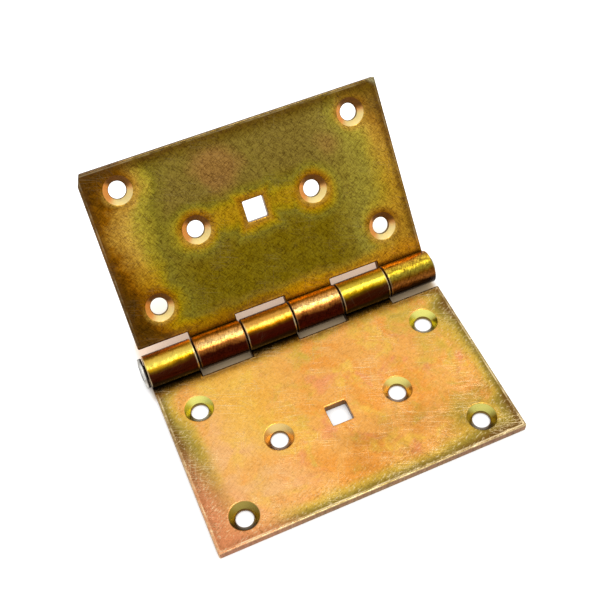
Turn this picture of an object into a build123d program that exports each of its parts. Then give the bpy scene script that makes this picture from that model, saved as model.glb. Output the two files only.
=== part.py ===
"""Construction hinge: two equal leaves with rolled knuckles on one riveted pin.

Row frame, millimetres: the lower leaf lies flat with its back face on Z = 0. The origin
is the centre of that leaf's four corner screw holes, X runs along the pin and Y points
from the leaf's outer edge to the barrel. The upper leaf stands open behind the barrel.
"""
from build123d import *
from math import asin, cos, degrees, radians, sin
import os

os.makedirs("parts", exist_ok=True)

# Sheet and pin
sheet = 3.0                     # thickness of the steel sheet
pin_diameter = 4.8
pin_clearance = 0.08            # radial, between the pin and the rolled eyes

# Leaf outline
leaf_length = 100.0             # along the pin
leaf_reach = 65.0               # from the pin's axis to the leaf's outer edge
corner_radius = 0.5             # outer corners, seen from the front
edge_roll = 0.4                 # rounding that the shear leaves along the front edges

# Knuckles
knuckles_per_leaf = 3
knuckle_gap = 0.5               # between neighbouring knuckles, along the pin
slot_clearance = 1.5            # from the barrel to the edge cut back beside it
curl_seam = 0.3                 # between the end of the roll and the leaf's front face
knuckle_edge = 0.3              # bevel on a knuckle's outer end edges

# Countersunk screw holes and the square hole for a coach bolt
screw_hole = 5.5                # diameter
countersink = 9.3               # diameter at the front face
countersink_angle = 90.0
corner_hole_pitch = 78.0        # along the pin
row_pitch = 39.0                # between the row near the barrel and the outer row
outer_row_inset = 8.2           # from the outer row to the leaf's outer edge
middle_hole_pitch = 40.0        # along the pin, on the centre row
square_hole = 7.0               # across flats
square_corner = 0.3

# Riveted pin ends
head_diameter = 10.0
head_thickness = 1.6
head_bevel = 0.45
tail_diameter = 5.8             # the far end, spread by riveting
tail_thickness = 1.1
tail_bevel = 0.35
end_clearance = 0.25            # between each riveted end and the knuckle beside it

# Clipped corner of the upper leaf
clip_along_edge = 1.5
clip_along_side = 3.7

# Angle between the two front faces
opening = 130.0

# Worked out from the sizes above
eye_inner = pin_diameter / 2 + pin_clearance
eye_outer = eye_inner + sheet
slot_reach = eye_outer + slot_clearance
knuckle_count = 2 * knuckles_per_leaf
knuckle_width = (leaf_length - (knuckle_count - 1) * knuckle_gap) / knuckle_count
knuckle_pitch = knuckle_width + knuckle_gap
curl_sweep = 270 + degrees(asin((eye_inner - curl_seam) / eye_outer))
centre_row = leaf_reach - outer_row_inset - row_pitch / 2

pin_centre = (0, centre_row, eye_outer)
pin_axis = Axis(pin_centre, (1, 0, 0))
lower_frame = Plane(origin=pin_centre)
upper_frame = Plane(
    origin=pin_centre,
    x_dir=(-1, 0, 0),
    z_dir=(0, -sin(radians(opening)), -cos(radians(opening))),
)


# Leaf as stamped and rolled. In its own frame the pin's axis is X, the leaf reaches
# towards -Y and the countersunk front face looks along +Z.
front_plane = Plane.XY.offset(-eye_inner)
back_plane = Plane.XY.offset(-eye_outer)

with BuildPart() as leaf:
    # Flat plate, as far as the edge cut back beside the other leaf's knuckles
    with BuildSketch(back_plane):
        with Locations((0, -slot_reach)):
            Rectangle(leaf_length, leaf_reach - slot_reach, align=(Align.CENTER, Align.MAX))
    extrude(amount=sheet)
    fillet(leaf.edges().filter_by(Axis.Z).group_by(Axis.Y)[0], radius=corner_radius)
    front_edges = leaf.faces().sort_by(Axis.Z)[-1].edges().sort_by(Axis.Y)[:-1]
    fillet(front_edges, radius=edge_roll)

    for number in range(knuckles_per_leaf):
        knuckle_start = 2 * number * knuckle_pitch - leaf_length / 2
        knuckle_middle = knuckle_start + knuckle_width / 2

        # Tongue of the sheet that runs on to the roll
        with BuildSketch(back_plane):
            with Locations((knuckle_middle, 0)):
                Rectangle(knuckle_width, slot_reach, align=(Align.CENTER, Align.MAX))
        extrude(amount=sheet)

        # Roll: the sheet's section turned about the pin until its end meets the leaf
        with BuildSketch(Plane.XZ) as roll_section:
            with Locations((knuckle_middle, -eye_inner)):
                Rectangle(knuckle_width, sheet, align=(Align.CENTER, Align.MAX))
            chamfer(roll_section.vertices().group_by(Axis.Y)[0], length=knuckle_edge)
        revolve(axis=Axis.X, revolution_arc=curl_sweep)

    # Screw holes: four at the corners of a rectangle, two between them
    with Locations(front_plane):
        with Locations((0, -centre_row)):
            with GridLocations(corner_hole_pitch, row_pitch, 2, 2):
                CounterSinkHole(screw_hole / 2, countersink / 2, sheet, countersink_angle)
            with GridLocations(middle_hole_pitch, row_pitch, 2, 1):
                CounterSinkHole(screw_hole / 2, countersink / 2, sheet, countersink_angle)

    # Square hole in the middle
    with BuildSketch(front_plane):
        with Locations((0, -centre_row)):
            RectangleRounded(square_hole, square_hole, square_corner)
    extrude(amount=-sheet, mode=Mode.SUBTRACT)


# Lower leaf, lying flat
with BuildPart() as lower_leaf:
    add(leaf.part.moved(lower_frame.location))
lower_leaf.part.label = "lower_leaf"


# Upper leaf: the same stamping turned end for end, with one outer corner clipped
with BuildPart() as upper_leaf:
    add(leaf.part.moved(upper_frame.location))
    with BuildSketch(upper_frame.offset(-eye_outer)):
        with BuildLine():
            corner = Vector(leaf_length / 2, -leaf_reach)
            Polyline(
                corner,
                corner - Vector(clip_along_edge, 0),
                corner + Vector(0, clip_along_side),
                close=True,
            )
        make_face()
    extrude(amount=sheet, mode=Mode.SUBTRACT)
upper_leaf.part.label = "upper_leaf"


# Hinge pin: a round head at one end, the other end spread over the last knuckle
head_face = -leaf_length / 2 - end_clearance
tail_face = leaf_length / 2 + end_clearance

with BuildPart() as hinge_pin:
    with BuildSketch(Plane(origin=pin_centre, x_dir=(1, 0, 0), z_dir=(0, -1, 0))) as pin_section:
        with Locations((head_face, 0)):
            Rectangle(head_thickness, head_diameter / 2, align=(Align.MAX, Align.MIN))
        head_corner = pin_section.vertices().group_by(Axis.X)[0].sort_by(Axis.Y)[-1]
        chamfer(head_corner, length=head_bevel)
        with Locations((head_face, 0)):
            Rectangle(tail_face - head_face, pin_diameter / 2, align=Align.MIN)
        with Locations((tail_face, 0)):
            Rectangle(tail_thickness, tail_diameter / 2, align=Align.MIN)
        tail_corner = pin_section.vertices().group_by(Axis.X)[-1].sort_by(Axis.Y)[-1]
        chamfer(tail_corner, length=tail_bevel)
    revolve(axis=pin_axis)
hinge_pin.part.label = "hinge_pin"


export_step(lower_leaf.part, "parts/lower_leaf.step")
export_step(upper_leaf.part, "parts/upper_leaf.step")
export_step(hinge_pin.part, "parts/hinge_pin.step")
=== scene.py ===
import math

import bpy
import numpy as np
from bpy.props import FloatProperty, FloatVectorProperty, IntProperty, PointerProperty
from mathutils import Matrix, Vector


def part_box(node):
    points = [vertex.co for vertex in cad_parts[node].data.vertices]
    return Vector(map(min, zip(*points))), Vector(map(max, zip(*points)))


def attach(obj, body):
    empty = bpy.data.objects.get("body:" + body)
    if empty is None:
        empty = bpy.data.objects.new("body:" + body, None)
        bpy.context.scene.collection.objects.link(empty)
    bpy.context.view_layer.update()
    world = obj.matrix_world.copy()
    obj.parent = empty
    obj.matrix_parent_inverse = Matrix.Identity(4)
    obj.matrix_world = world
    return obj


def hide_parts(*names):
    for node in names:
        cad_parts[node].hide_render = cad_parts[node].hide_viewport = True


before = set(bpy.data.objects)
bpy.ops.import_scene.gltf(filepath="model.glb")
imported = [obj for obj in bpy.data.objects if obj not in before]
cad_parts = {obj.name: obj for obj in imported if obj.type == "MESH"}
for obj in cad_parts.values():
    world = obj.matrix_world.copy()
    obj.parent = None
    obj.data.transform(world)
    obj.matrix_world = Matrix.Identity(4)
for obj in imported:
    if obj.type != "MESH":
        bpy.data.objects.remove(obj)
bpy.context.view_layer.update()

bl_info = {
    "name": "Construction Hinge",
    "version": (1, 0, 0),
    "blender": (4, 5, 0),
    "location": "3D View > Sidebar > Hinge",
    "description": "Two yellow-passivated leaves with rolled knuckles on one riveted pin",
    "category": "Add Mesh",
}

MM = 0.001
TINY = 1e-9     # metres, less than any step of a grid
LOWER_LOW, LOWER_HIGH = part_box("lower_leaf")
PIN_LOW, PIN_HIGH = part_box("hinge_pin")

# The pin's axis runs along X through this point of the scene
PIN_CENTRE = (PIN_LOW + PIN_HIGH) / 2
PIN_CENTRE.x = 0.0


# Sizes and colours


def size(name, description, default):
    """A length property, in metres."""
    return FloatProperty(name=name, description=description, default=default, unit="LENGTH")


def angle(name, description, degrees):
    """An angle property, from its degrees."""
    return FloatProperty(
        name=name, description=description, default=math.radians(degrees), unit="ROTATION")


class LeafSizes(bpy.types.PropertyGroup):
    """Sizes of the stamped sheet, shared by both leaves."""

    sheet: size("Sheet", "Thickness of the steel sheet", 3.0 * MM)
    length: size("Length", "Length of a leaf along the pin", LOWER_HIGH.x - LOWER_LOW.x)
    reach: size("Reach", "From the pin's axis to a leaf's outer edge", PIN_CENTRE.y - LOWER_LOW.y)
    eye: size("Eye", "Inner radius of the rolled knuckles", 2.48 * MM)
    slot_reach: size(
        "Cut edge", "From the pin's axis to the edge cut back beside the barrel", 6.98 * MM)
    curl: angle("Roll", "Angle through which a knuckle is rolled", 293.43)
    knuckles: IntProperty(
        name="Knuckles", description="Rolled knuckles on one leaf", default=3, min=1)
    knuckle_gap: size("Knuckle gap", "Between neighbouring knuckles, along the pin", 0.5 * MM)
    row_near: size(
        "Near row", "From the pin's axis to the row of holes beside the barrel", 17.8 * MM)
    row_pitch: size("Row pitch", "From the row beside the barrel to the outer row", 39.0 * MM)
    corner_pitch: size("Corner holes", "Between corner holes, along the pin", 78.0 * MM)
    middle_pitch: size("Middle holes", "Between middle holes, along the pin", 40.0 * MM)
    hole: size("Screw hole", "Diameter of a screw hole", 5.5 * MM)
    countersink: size("Countersink", "Diameter of a countersink at the front face", 9.3 * MM)
    square: size("Square hole", "Width of the square hole across flats", 7.0 * MM)
    front_roll: size(
        "Front edge", "Rounding that the shear leaves along the front edges", 0.4 * MM)
    back_roll: size("Back edge", "Rounding of the back edges and the knuckles' rims", 0.3 * MM)
    clip_edge: size(
        "Clip, edge", "Clipped corner of the upper leaf, along its outer edge", 1.5 * MM)
    clip_side: size("Clip, side", "Clipped corner of the upper leaf, along its end", 3.7 * MM)
    opening: angle("Opening", "Angle between the two front faces", 130)


class PinSizes(bpy.types.PropertyGroup):
    """Sizes of the riveted pin."""

    shank: size("Shank", "Diameter of the pin", 4.8 * MM)
    head: size("Head", "Diameter of the hammered head", PIN_HIGH.z - PIN_LOW.z)
    head_thickness: size("Head thickness", "Thickness of the hammered head", 1.6 * MM)
    tail: size("Tail", "Diameter of the spread end", 5.8 * MM)
    tail_thickness: size("Tail thickness", "Length of the spread end", 1.1 * MM)
    gap: size("End gap", "Between a leaf's end and the pin's head or tail", 0.25 * MM)


def srgb(red, green, blue):
    """Linear colour of an 8-bit screen colour: with c from 0 to 1, c / 12.92 up to 0.04045 and
    ((c + 0.055) / 1.055)^2.4 above."""
    c = np.array([red, green, blue]) / 255.0
    return tuple(np.where(c <= 0.04045, c / 12.92, ((c + 0.055) / 1.055) ** 2.4)) + (1.0,)


def tint(name, description, colour):
    """A colour property from a linear colour."""
    return FloatVectorProperty(
        name=name, description=description, subtype="COLOR", size=4, min=0, max=1,
        default=colour)


def film(name, description, red, green, blue):
    """A colour property for one tone of the finish, from its 8-bit screen colour."""
    return tint(name, description, srgb(red, green, blue))


class FinishColours(bpy.types.PropertyGroup):
    """Tones of the passivated film and of the bare zinc."""

    peach: film("Peach", "Lower leaf, the film over most of its face", 252, 180, 90)
    amber: film("Amber", "Lower leaf, warmer patches", 250, 166, 70)
    honey: film("Honey", "Lower leaf, yellow among the peach", 255, 202, 86)
    straw: film("Straw", "Lower leaf, yellow patches", 226, 184, 74)
    moss: film("Moss", "Lower leaf, green patches near its edges", 176, 152, 62)
    rose: film("Rose", "Lower leaf, pink patches near its outer corner", 248, 156, 106)
    salmon: film("Salmon", "Lower leaf, pale pink film towards its left end", 255, 192, 126)
    brown: film("Brown", "Upper leaf, the film along its border", 96, 62, 6)
    bark: film("Bark", "Upper leaf, the film just inside its border", 118, 74, 5)
    rust: film("Rust", "Upper leaf, the film round its gold band", 160, 102, 8)
    gold: film("Gold", "Upper leaf, halos round the holes", 202, 152, 10)
    amber_gold: film("Amber gold", "Upper leaf, bright ends of its far half", 228, 182, 72)
    lime: film("Lime", "Upper leaf, outside the halos", 180, 152, 14)
    pear: film("Pear", "Upper leaf, outside the halos of its far half", 194, 174, 54)
    fern: film("Fern", "Upper leaf, between lime and olive", 150, 136, 40)
    sage: film("Sage", "Upper leaf, grey-green ring at its right end", 222, 204, 88)
    olive: film("Olive", "Upper leaf, the middle of its near half", 138, 115, 10)
    mauve: film("Mauve", "Upper leaf, the cloud in its far half", 150, 128, 52)
    umber: film("Umber", "Dark lines of the sheared faces", 96, 62, 28)
    stain: film("Stain", "Tint of the mottling", 130, 96, 66)
    sand: film("Sand", "Lower leaf, tint of its duller part", 218, 210, 194)
    drab: film("Drab", "Lower leaf, brown patches along its edges", 132, 98, 40)
    blush: film("Blush", "Upper leaf, reddish patches in its middle", 176, 128, 66)
    loam: film("Loam", "Upper leaf, dark olive film along its outer edge", 112, 84, 8)
    fire: film("Fire", "Upper leaf, orange film beside the barrel", 232, 156, 12)
    coral: film("Coral", "Tint of the lower leaf's middle knuckle", 246, 214, 226)
    sprout: film("Sprout", "Tint of the lower leaf's last knuckle", 232, 240, 190)
    # Copper borders the painted shade low on the upper leaf's knuckles
    copper: film("Copper", "Upper leaf's knuckles, beside their dark film", 176, 108, 42)
    toast: film("Toast", "Upper leaf's knuckles, dull film high on them", 196, 126, 26)
    citron: film("Citron", "Last knuckle, yellow-green film", 190, 168, 40)
    # Painted highlight on the last knuckle
    highlight_pear: film("Pear skin", "Last knuckle, where the film is thinnest", 245, 206, 66)
    apricot: film("Apricot", "Last knuckle, high on it", 246, 182, 62)
    # Painted highlight on the upper leaf's knuckles and in the lower leaf's middle countersinks
    highlight_cream: film("Cream", "Upper leaf's knuckles, where the film is thinnest", 248, 210, 136)
    # Painted highlight on the lower leaf's knuckles
    lemon: film("Lemon", "Lower leaf's knuckles, where the film is thinnest", 230, 208, 88)
    ember: film("Ember", "Orange film high on the first knuckle", 255, 176, 96)
    tan: film("Tan", "Dull film high on the knuckles", 150, 104, 50)
    # Painted shade low on the knuckles
    maroon: film("Maroon", "Thick film low on the knuckles", 62, 8, 4)
    # Painted shade: countersinks' dark side, screw holes' bores, square hole's walls
    hole_shade: film("Dusk", "Dark side of the countersinks", 46, 22, 8)
    # Painted shade: fold beside the barrel, end of the roll, lowest on the knuckles, pin head's
    # edges
    black_shade: film("Soot", "Film in the fold between a knuckle and its leaf", 24, 8, 5)
    cone_pink: film("Pink countersink", "Upper leaf's cut countersinks", 255, 182, 102)
    # Painted highlight on the upper leaf's countersinks
    highlight_pink: film("Bright pink", "Where the film ran off a pink countersink", 255, 240, 172)
    # Painted highlight on the lower leaf's countersinks
    highlight_green: film("Bright green", "Where the film ran off a green countersink", 246, 240, 130)
    cone_green: film("Green countersink", "Lower leaf's cut countersinks", 216, 200, 60)
    rubbed: film("Rubbed corner", "Upper leaf's corner, rubbed to the zinc", 176, 172, 128)
    # Wear along edges, rims and scratches; along the rounded front edge it is also a painted
    # highlight
    wear_and_highlight: film("Worn edge", "Film rubbed thin along edges and scratches", 250, 226, 176)
    sheared: film("Sheared edge", "Cut faces round the sheet", 186, 132, 100)
    zinc: film("Zinc", "Bare zinc of the pin's ends", 232, 230, 222)


class StageSettings(bpy.types.PropertyGroup):
    """Floor, light and camera."""

    floor: tint("Floor", "Colour of the floor", (0.75, 0.75, 0.75, 1.0))
    # Painted bounce light on the floor behind the barrel
    bounce: tint(
        "Bounce", "Tint of the floor behind the barrel's edge, in the light that it throws",
        (1.0, 0.76, 0.60, 1.0))
    # Painted warm bounce light on the floor under the tilted leaf
    warmth: tint("Warmth", "Tint of the floor under the tilted leaf", (0.80, 0.70, 0.46, 1.0))
    # Painted shade on the floor in the lower leaf's notches
    shade: tint(
        "Shade", "Tint of the floor in the notches in front of the barrel",
        (0.56, 0.42, 0.26, 1.0))
    distance: size("Floor size", "Half width of the floor", 1.6)
    glow: FloatProperty(
        name="Floor glow", description="Light added to the floor as the camera sees it",
        default=0.9, min=0)
    lens: FloatProperty(
        name="Lens", description="Focal length on a 36 mm sensor, in millimetres",
        default=57.53)
    sky_dim: FloatProperty(
        name="Dim sky", description="Strength of the sky at the horizon", default=0.42, min=0)
    sky_bright: FloatProperty(
        name="Bright sky", description="Strength of the sky overhead", default=1.0, min=0)
    lamp: FloatProperty(
        name="Lamp", description="Power of the high lamp, in watts", default=2.6, min=0)


def leaf_sizes():
    """Sizes of the leaves, as the scene holds them."""
    return bpy.context.scene.hinge_leaf


def neutral_radius():
    """Radius at which the rolled sheet keeps its length: the middle of its thickness."""
    return leaf_sizes().eye + leaf_sizes().sheet / 2


# Meshes


def grid_quads(rows, columns, wrap=False):
    """Corners of the cells of a rows x columns grid of points, four indices a cell.
    With wrap, the last row joins the first."""
    index = np.arange(rows * columns).reshape(rows, columns)
    if wrap:
        index = np.vstack([index, index[:1]])
    return np.stack(
        [index[:-1, :-1], index[1:, :-1], index[1:, 1:], index[:-1, 1:]], axis=-1
    ).reshape(-1, 4)


def joined(patches):
    """One array of points and one of cells from patches that share their border points.
    Points that agree to a thousandth of a millimetre become one."""
    starts = np.cumsum([0] + [len(points) for points, cells in patches])
    points = np.vstack([points for points, cells in patches])
    cells = np.vstack([cells + start for (_, cells), start in zip(patches, starts)])
    thousandth = 1e-3 * MM
    keys = np.round(points / thousandth).astype(np.int64)
    _, first, where = np.unique(keys, axis=0, return_index=True, return_inverse=True)
    return points[first], where.reshape(-1)[cells]


def make_piece(name, points, cells, attributes, material):
    """A mesh object at the origin from points of the scene and four-sided cells.
    A cell with two corners on one point becomes a triangle, and one with less is dropped."""
    same = cells == np.roll(cells, -1, axis=1)
    doubles = same.sum(axis=1)
    quads = cells[doubles == 0]
    corners = cells[doubles == 1]
    keep = ~same[doubles == 1]
    triangles = corners[keep].reshape(-1, 3)
    mesh = bpy.data.meshes.new(name)
    mesh.from_pydata(points, [], quads.tolist() + triangles.tolist())
    for key, values in attributes.items():
        kind = "FLOAT_VECTOR" if values.ndim == 2 else "FLOAT"
        layer = mesh.attributes.new(key, kind, "POINT")
        field = "vector" if values.ndim == 2 else "value"
        layer.data.foreach_set(field, np.ascontiguousarray(values, np.float32).ravel())
    mesh.polygons.foreach_set("use_smooth", np.ones(len(mesh.polygons), bool))
    mesh.materials.append(material)
    mesh.update()
    mesh.validate()
    piece = bpy.data.objects.new(name, mesh)
    bpy.context.scene.collection.objects.link(piece)
    return piece


def spaced(low, high, step):
    """Evenly spaced numbers from low to high, no further apart than step."""
    return np.linspace(low, high, max(2, int(math.ceil((high - low) / step - 1e-6)) + 1))


def snapped(places):
    """Places rounded to a millionth of a millimetre, so that equal ones compare as equal."""
    return np.round(places, 9)


def lines_through(stops, step):
    """Grid lines through every stop, with even lines no further apart than step between."""
    stops = np.unique(snapped(stops))
    runs = [spaced(a, b, step)[:-1] for a, b in zip(stops[:-1], stops[1:])]
    return snapped(np.concatenate(runs + [stops[-1:]]))


def at_depth(flat, depth):
    """Points (x, q, d) from an array of points (x, q) and their depths."""
    return np.concatenate([flat, np.broadcast_to(depth, flat.shape[:2] + (1,))], axis=-1)


class Blank:
    """The leaf's flat blank. A point of it is (x, q, d): x along the pin, q the distance from
    the pin's axis measured along the sheet, below 0 in the roll, and d the depth below the
    front face."""

    inset = 0.5 * MM            # from the outline to where the edge's profile begins
    margin = 6.5 * MM           # half width of the square patch round each hole
    rings = 4                   # rings of cells between a patch's border and its hole
    fan_steps = 6               # normals round an outer corner
    step = 1.1 * MM             # grid step on the plate
    turn = math.radians(4.0)    # grid step round the roll
    foot_step = 1.9 * MM        # grid step from the roll to the plate

    def __init__(self, sizes, clipped):
        self.s = s = sizes
        self.neutral = s.eye + s.sheet / 2
        self.end = -s.curl * self.neutral
        half = s.length / 2
        count = 2 * s.knuckles
        width = (s.length - (count - 1) * s.knuckle_gap) / count
        starts = -half + 2 * np.arange(s.knuckles) * (width + s.knuckle_gap)
        self.tongues = np.stack([starts, starts + width], axis=1)
        self.inner_tongues = snapped(self.tongues + np.array([self.inset, -self.inset]))
        middle = s.row_near + s.row_pitch / 2
        outer = s.row_near + s.row_pitch
        self.round_holes = [
            (side * s.corner_pitch / 2, row) for side in (-1, 1) for row in (s.row_near, outer)
        ] + [(side * s.middle_pitch / 2, middle) for side in (-1, 1)]
        self.square_hole = (0.0, middle)
        self.left, self.right = snapped([-half + self.inset, half - self.inset])
        self.near, self.far = snapped([s.slot_reach + self.inset, s.reach - self.inset])
        self.tip = snapped(self.end + self.inset)

        # The clipped corner, set back by the inset
        cut, side = s.clip_edge, s.clip_side
        away = np.array([side, cut]) / math.hypot(cut, side)
        self.clip_x = snapped(half - cut - (self.inset - away[1] * self.inset) / away[0])
        self.clip_q = snapped(s.reach - (self.inset + away[0] * (cut - self.inset)) / away[1])
        self.clipped = clipped

        # Grid lines along the pin, across the plate and along the tongues
        centres = np.array(self.round_holes + [self.square_hole])
        around = np.array([-self.margin, self.margin])
        self.xs = lines_through(np.concatenate([
            [self.left, self.right, self.clip_x], self.inner_tongues.ravel(),
            (centres[:, :1] + around).ravel()]), self.step)
        self.qs = lines_through(np.concatenate([
            [self.near, self.far, self.clip_q], (centres[:, 1:] + around).ravel()]), self.step)
        roll = spaced(self.tip, 0.0, self.turn * self.neutral)
        foot = spaced(0.0, self.near, self.foot_step)[1:]
        self.roll_qs = snapped(np.concatenate([roll, foot]))

    def clip(self, x, q):
        """Moves the corner's block of grid points into the triangle left by the clip:
        (u, v) in the block -> A(1-u)(1-v) + B u(1-v) + C(1-u)v + M uv, with M half way
        along the clip."""
        if not self.clipped:
            return x, q
        u = (x - self.clip_x) / (self.right - self.clip_x)
        v = (q - self.clip_q) / (self.far - self.clip_q)
        inside = (u > -TINY) & (v > -TINY)
        width, height = self.right - self.clip_x, self.far - self.clip_q
        x = np.where(inside, self.clip_x + width * (u * (1 - v) + 0.5 * u * v), x)
        q = np.where(inside, self.clip_q + height * ((1 - u) * v + 0.5 * u * v), q)
        return x, q

    def face(self, xs, qs, depth, keep=None):
        """A flat patch of the face at one depth, on the grid lines xs and qs."""
        x, q = np.meshgrid(xs, qs, indexing="ij")
        x, q = self.clip(x, q)
        points = np.stack([x, q, np.full_like(x, depth)], axis=-1).reshape(-1, 3)
        cells = grid_quads(len(xs), len(qs))
        if keep is not None:
            cells = cells[keep.ravel()]
        return points, cells if depth > 0 else cells[:, ::-1]

    def faces(self):
        """Front and back faces: the plate without the patches round its holes, and the
        tongues out to the end of the roll."""
        mx = (self.xs[:-1] + self.xs[1:])[:, None] / 2
        mq = (self.qs[:-1] + self.qs[1:])[None, :] / 2
        keep = np.ones((len(self.xs) - 1, len(self.qs) - 1), bool)
        for x, q in self.round_holes + [self.square_hole]:
            keep &= (abs(mx - x) > self.margin) | (abs(mq - q) > self.margin)
        patches = []
        for depth in (0.0, self.s.sheet):
            patches.append(self.face(self.xs, self.qs, depth, keep))
            for low, high in self.inner_tongues:
                xs = self.xs[(self.xs > low - TINY) & (self.xs < high + TINY)]
                patches.append(self.face(xs, self.roll_qs, depth))
        return patches

    def block_border(self, centre):
        """The grid's points round the square patch of a hole, in order."""
        x, q = centre
        m = self.margin + TINY
        xs = self.xs[abs(self.xs - x) < m]
        qs = self.qs[abs(self.qs - q) < m]
        return np.concatenate([
            np.stack([xs[:-1], np.full(len(xs) - 1, qs[0])], axis=1),
            np.stack([np.full(len(qs) - 1, xs[-1]), qs[:-1]], axis=1),
            np.stack([xs[:0:-1], np.full(len(xs) - 1, qs[-1])], axis=1),
            np.stack([np.full(len(qs) - 1, xs[0]), qs[:0:-1]], axis=1),
        ])

    def hole(self, centre, profile, reach_at):
        """A hole's patch. Its border is square, and each ring of the profile (r, d) is the
        border drawn in along its rays: point = centre + r * reach_at(angle) * ray."""
        border = self.block_border(centre)
        ray = border - np.array(centre)
        angle = np.arctan2(ray[:, 1], ray[:, 0])
        unit = np.stack([np.cos(angle), np.sin(angle)], axis=1)
        radius, depth = np.array(profile).T
        inner = np.array(centre) + radius[:, None, None] * (reach_at(angle)[:, None] * unit)
        blend = np.arange(self.rings)[:, None, None] / self.rings
        front = border * (1 - blend) + inner[0] * blend
        back = (border * (1 - blend) + inner[-1] * blend)[::-1]
        flat = np.concatenate([front, inner, back])
        depths = np.concatenate(
            [np.zeros(self.rings), depth, np.full(self.rings, self.s.sheet)])
        points = at_depth(flat, depths[:, None, None])
        rows, columns = points.shape[:2]
        cells = grid_quads(columns, rows, wrap=True)[:, ::-1]
        return points.transpose(1, 0, 2).reshape(-1, 3), cells

    def holes(self):
        """Six countersunk holes and the square one. A profile runs from the front face over the
        rounded rim, down the wall and over the back rim to the back face."""
        s = self.s
        outer, inner, sheet = s.countersink / 2, s.hole / 2, s.sheet
        depth = outer - inner
        round_profile = [
            (outer + 0.45 * MM, 0.0),
            (outer + 0.16 * MM, 0.0),
            (outer + 0.02 * MM, 0.05 * MM),
            (outer - 0.12 * MM, 0.17 * MM),
            (outer - 0.5 * depth, 0.5 * depth + 0.04 * MM),
            (inner + 0.14 * MM, depth - 0.12 * MM),
            (inner + 0.02 * MM, depth + 0.03 * MM),
            (inner, depth + 0.2 * MM),
            (inner, sheet - 0.3 * MM),
            (inner + 0.02 * MM, sheet - 0.1 * MM),
            (inner + 0.1 * MM, sheet - 0.02 * MM),
            (inner + 0.25 * MM, sheet),
            (inner + 0.8 * MM, sheet),
        ]
        half = s.square / 2
        square_profile = [
            (half + 0.6 * MM, 0.0),
            (half + 0.28 * MM, 0.0),
            (half + 0.1 * MM, 0.06 * MM),
            (half + 0.02 * MM, 0.2 * MM),
            (half, 0.45 * MM),
            (half, 1.2 * MM),
            (half + 0.04 * MM, sheet - 0.5 * MM),
            (half + 0.06 * MM, sheet - 0.1 * MM),
            (half + 0.16 * MM, sheet),
            (half + 0.7 * MM, sheet),
        ]

        def circle(angle):
            """Distance to a unit circle, the same along every ray."""
            return np.ones_like(angle)

        def squared(angle):
            """Distance along each ray to a unit square with slightly rounded corners:
            (|cos|^power + |sin|^power)^(-1 / power)."""
            power = 24
            c, n = abs(np.cos(angle)), abs(np.sin(angle))
            return (c ** power + n ** power) ** (-1 / power)

        patches = [self.hole(centre, round_profile, circle) for centre in self.round_holes]
        patches.append(self.hole(self.square_hole, square_profile, squared))
        return patches

    def outline(self):
        """The inset outline, in order, with the leaf always on its left, on the grid's lines."""
        lengthwise = np.unique(np.concatenate([self.qs, self.roll_qs]))

        def run(a, b):
            """Grid points from corner a up to but not including corner b."""
            axis = 1 if abs(a[0] - b[0]) < TINY else 0
            lines = (self.xs, lengthwise)[axis]
            low, high = sorted((a[axis], b[axis]))
            lines = lines[(lines > low + TINY) & (lines < high - TINY)]
            steps = np.tile(a, (len(lines), 1))
            steps[:, axis] = lines if b[axis] > a[axis] else lines[::-1]
            return np.vstack([[a], steps])

        corners = [(self.right, self.far), (self.left, self.far)]
        for low, high in self.inner_tongues:
            if low > self.left + TINY:
                corners.append((low, self.near))
            corners += [(low, self.tip), (high, self.tip)]
            if high < self.right - TINY:
                corners.append((high, self.near))
        corners.append((self.right, self.near))
        corners = np.array(corners)
        path = np.vstack([run(a, b) for a, b in zip(corners, np.roll(corners, -1, axis=0))])
        x, q = self.clip(path[:, 0], path[:, 1])
        return np.stack([x, q], axis=1)

    def edge(self):
        """The edge's profile carried round the outline: point + off * normal, at depth d.
        Outer corners are fans of normals, and inner ones are mitred."""
        path = self.outline()
        along = np.roll(path, -1, axis=0) - path
        along /= np.linalg.norm(along, axis=1)[:, None]
        after = np.stack([along[:, 1], -along[:, 0]], axis=1)
        before = np.roll(after, 1, axis=0)
        cross = before[:, 0] * after[:, 1] - before[:, 1] * after[:, 0]
        dot = (before * after).sum(axis=1)
        angle = np.arctan2(cross, dot)
        fans = np.where(angle > 0.05, self.fan_steps, 1)
        owner = np.repeat(np.arange(len(path)), fans)
        place = np.arange(len(owner)) - np.repeat(np.cumsum(fans) - fans, fans)
        share = place / np.maximum(fans[owner] - 1, 1)
        turn = angle[owner] * share
        b = before[owner]
        fan = np.stack([
            b[:, 0] * np.cos(turn) - b[:, 1] * np.sin(turn),
            b[:, 0] * np.sin(turn) + b[:, 1] * np.cos(turn)], axis=1)
        mitre = (before + after) / (1 + dot)[:, None]
        normal = np.where((fans[owner] > 1)[:, None], fan, mitre[owner])

        s = self.s
        f, k, i = s.front_roll, s.back_roll, self.inset
        rise = np.radians([0, 22.5, 45, 67.5, 90])
        profile = np.vstack([
            [[0.0, 0.0]],
            np.stack([i - f + f * np.sin(rise), f * (1 - np.cos(rise))], axis=1),
            [[i, 1.0 * MM], [i - 0.02 * MM, 1.7 * MM], [i - 0.03 * MM, s.sheet - k - 0.2 * MM]],
            np.stack([i - k + k * np.cos(rise), s.sheet - k + k * np.sin(rise)], axis=1),
            [[0.0, s.sheet]],
        ])
        flat = path[owner][:, None, :] + normal[:, None, :] * profile[None, :, :1]
        points = at_depth(flat, profile[None, :, 1:])
        return points.reshape(-1, 3), grid_quads(len(owner), len(profile), wrap=True)

    def mesh(self):
        """The whole blank: its faces, holes and edge, joined where they meet."""
        return joined(self.faces() + self.holes() + [self.edge()])

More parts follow.
